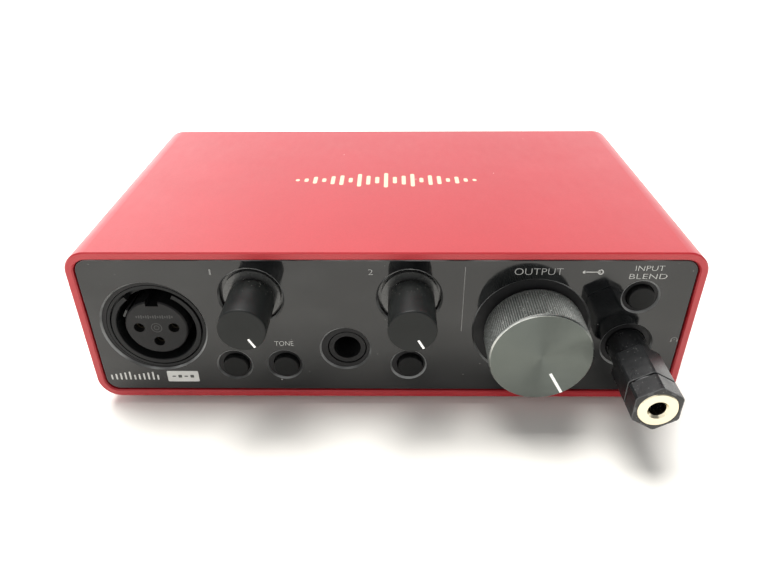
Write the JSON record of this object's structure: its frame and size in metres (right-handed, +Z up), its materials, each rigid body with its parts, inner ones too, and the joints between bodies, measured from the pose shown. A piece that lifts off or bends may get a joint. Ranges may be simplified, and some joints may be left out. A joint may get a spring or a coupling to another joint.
{
  "type": "audio interface",
  "caption": "Compact desktop USB audio interface: red metal sleeve, glossy black front with microphone and jack sockets, gain and monitor knobs, push buttons and a headphone adapter.",
  "frame": {"origin": "centre of the bounding box's bottom face, at the underside of the feet", "axes": "+X to the right seen from the front, +Y from the front panel to the back, +Z up"},
  "size_m": [0.1436, 0.1058, 0.0435],
  "materials": {
    "red_anodised": "satin anodised aluminium",
    "gloss_black_panel": "high gloss with fine dust",
    "black_moulding": "fine matte moulding",
    "black_satin_metal": "satin black",
    "smoked_light_guide": "smoked translucent, unlit",
    "gain_knob_plastic": "soft touch",
    "button_plastic": "satin",
    "pointer_white": "white inlay",
    "knob_aluminium": "dark anodised, spun face and ribbed side",
    "knob_core_plastic": "plain moulding",
    "steel": "plated",
    "gold_contact": "gold plated",
    "nickel_nut": "nickel plated",
    "circuit_board": "solder mask",
    "chip_plastic": "moulded epoxy",
    "capacitor_can": "bare can",
    "foot_rubber": "matte",
    "adapter_plastic": "semi-gloss moulding"
  },
  "bodies": {
    "chassis": {"outer_sleeve": "red_anodised", "front_fascia": "gloss_black_panel", "front_carrier": "black_moulding", "rear_panel": "black_moulding", "xlr_insert": "black_moulding", "instrument_jack": "black_moulding", "headphone_jack": "black_moulding", "line_output_left": "black_moulding", "line_output_right": "black_moulding", "board_header": "black_moulding", "push_switches": "black_moulding", "usb_tongue": "black_moulding", "xlr_shell": "black_satin_metal", "gain_1_halo": "smoked_light_guide", "gain_2_halo": "smoked_light_guide", "usb_light_pipe": "smoked_light_guide", "case_screws": "steel", "small_screws": "steel", "gain_1_pot": "steel", "gain_2_pot": "steel", "monitor_pot": "steel", "usb_shell": "steel", "xlr_ground_spring": "steel", "jack_contacts": "steel", "xlr_contacts": "gold_contact", "jack_nuts": "nickel_nut", "main_board": "circuit_board", "front_board": "circuit_board", "chips": "chip_plastic", "inductors": "chip_plastic", "capacitors": "capacitor_can", "foot_front_left": "foot_rubber", "foot_front_right": "foot_rubber", "foot_rear_left": "foot_rubber", "foot_rear_right": "foot_rubber"},
    "gain_1_control": {"gain_1_shaft": "steel", "gain_1_knob": "gain_knob_plastic", "gain_1_pointer": "pointer_white"},
    "gain_2_control": {"gain_2_shaft": "steel", "gain_2_knob": "gain_knob_plastic", "gain_2_pointer": "pointer_white"},
    "monitor_control": {"monitor_shaft": "steel", "monitor_knob": "knob_aluminium", "monitor_knob_core": "knob_core_plastic", "monitor_pointer": "pointer_white"},
    "phantom_push": {"phantom_button": "button_plastic", "phantom_plunger": "knob_core_plastic"},
    "tone_push": {"tone_button": "button_plastic", "tone_plunger": "knob_core_plastic"},
    "instrument_push": {"instrument_button": "button_plastic", "instrument_plunger": "knob_core_plastic"},
    "direct_push": {"direct_button": "button_plastic", "direct_plunger": "knob_core_plastic"},
    "adapter": {"adapter_body": "adapter_plastic", "adapter_nut": "nickel_nut", "adapter_sleeve": "nickel_nut", "adapter_ring": "nickel_nut", "adapter_insulators": "black_moulding", "adapter_tip": "nickel_nut"}
  },
  "joints": [
    {"name": "gain_1_turn", "type": "hinge", "parent": "chassis", "child": "gain_1_control", "pos_m": [-0.0303, -0.0307, 0.0317], "axis": [0, -1, 0], "range_deg": [0, 300]},
    {"name": "gain_2_turn", "type": "hinge", "parent": "chassis", "child": "gain_2_control", "pos_m": [0.00606, -0.0307, 0.0315], "axis": [0, -1, 0], "range_deg": [0, 300]},
    {"name": "monitor_turn", "type": "hinge", "parent": "chassis", "child": "monitor_control", "pos_m": [0.03465, -0.0307, 0.0229], "axis": [0, -1, 0], "range_deg": [0, 300]},
    {"name": "phantom_press", "type": "slide", "parent": "chassis", "child": "phantom_push", "axis": [0, 1, 0], "range_m": [0, 0.0015], "stiffness_N_per_m": 800},
    {"name": "tone_press", "type": "slide", "parent": "chassis", "child": "tone_push", "axis": [0, 1, 0], "range_m": [0, 0.0015], "stiffness_N_per_m": 800},
    {"name": "instrument_press", "type": "slide", "parent": "chassis", "child": "instrument_push", "axis": [0, 1, 0], "range_m": [0, 0.0015], "stiffness_N_per_m": 800},
    {"name": "direct_press", "type": "slide", "parent": "chassis", "child": "direct_push", "axis": [0, 1, 0], "range_m": [0, 0.0015], "stiffness_N_per_m": 800},
    {"name": "adapter_pull", "type": "slide", "parent": "chassis", "child": "adapter", "axis": [0, -1, 0], "range_m": [0, 0.045]}
  ]
}
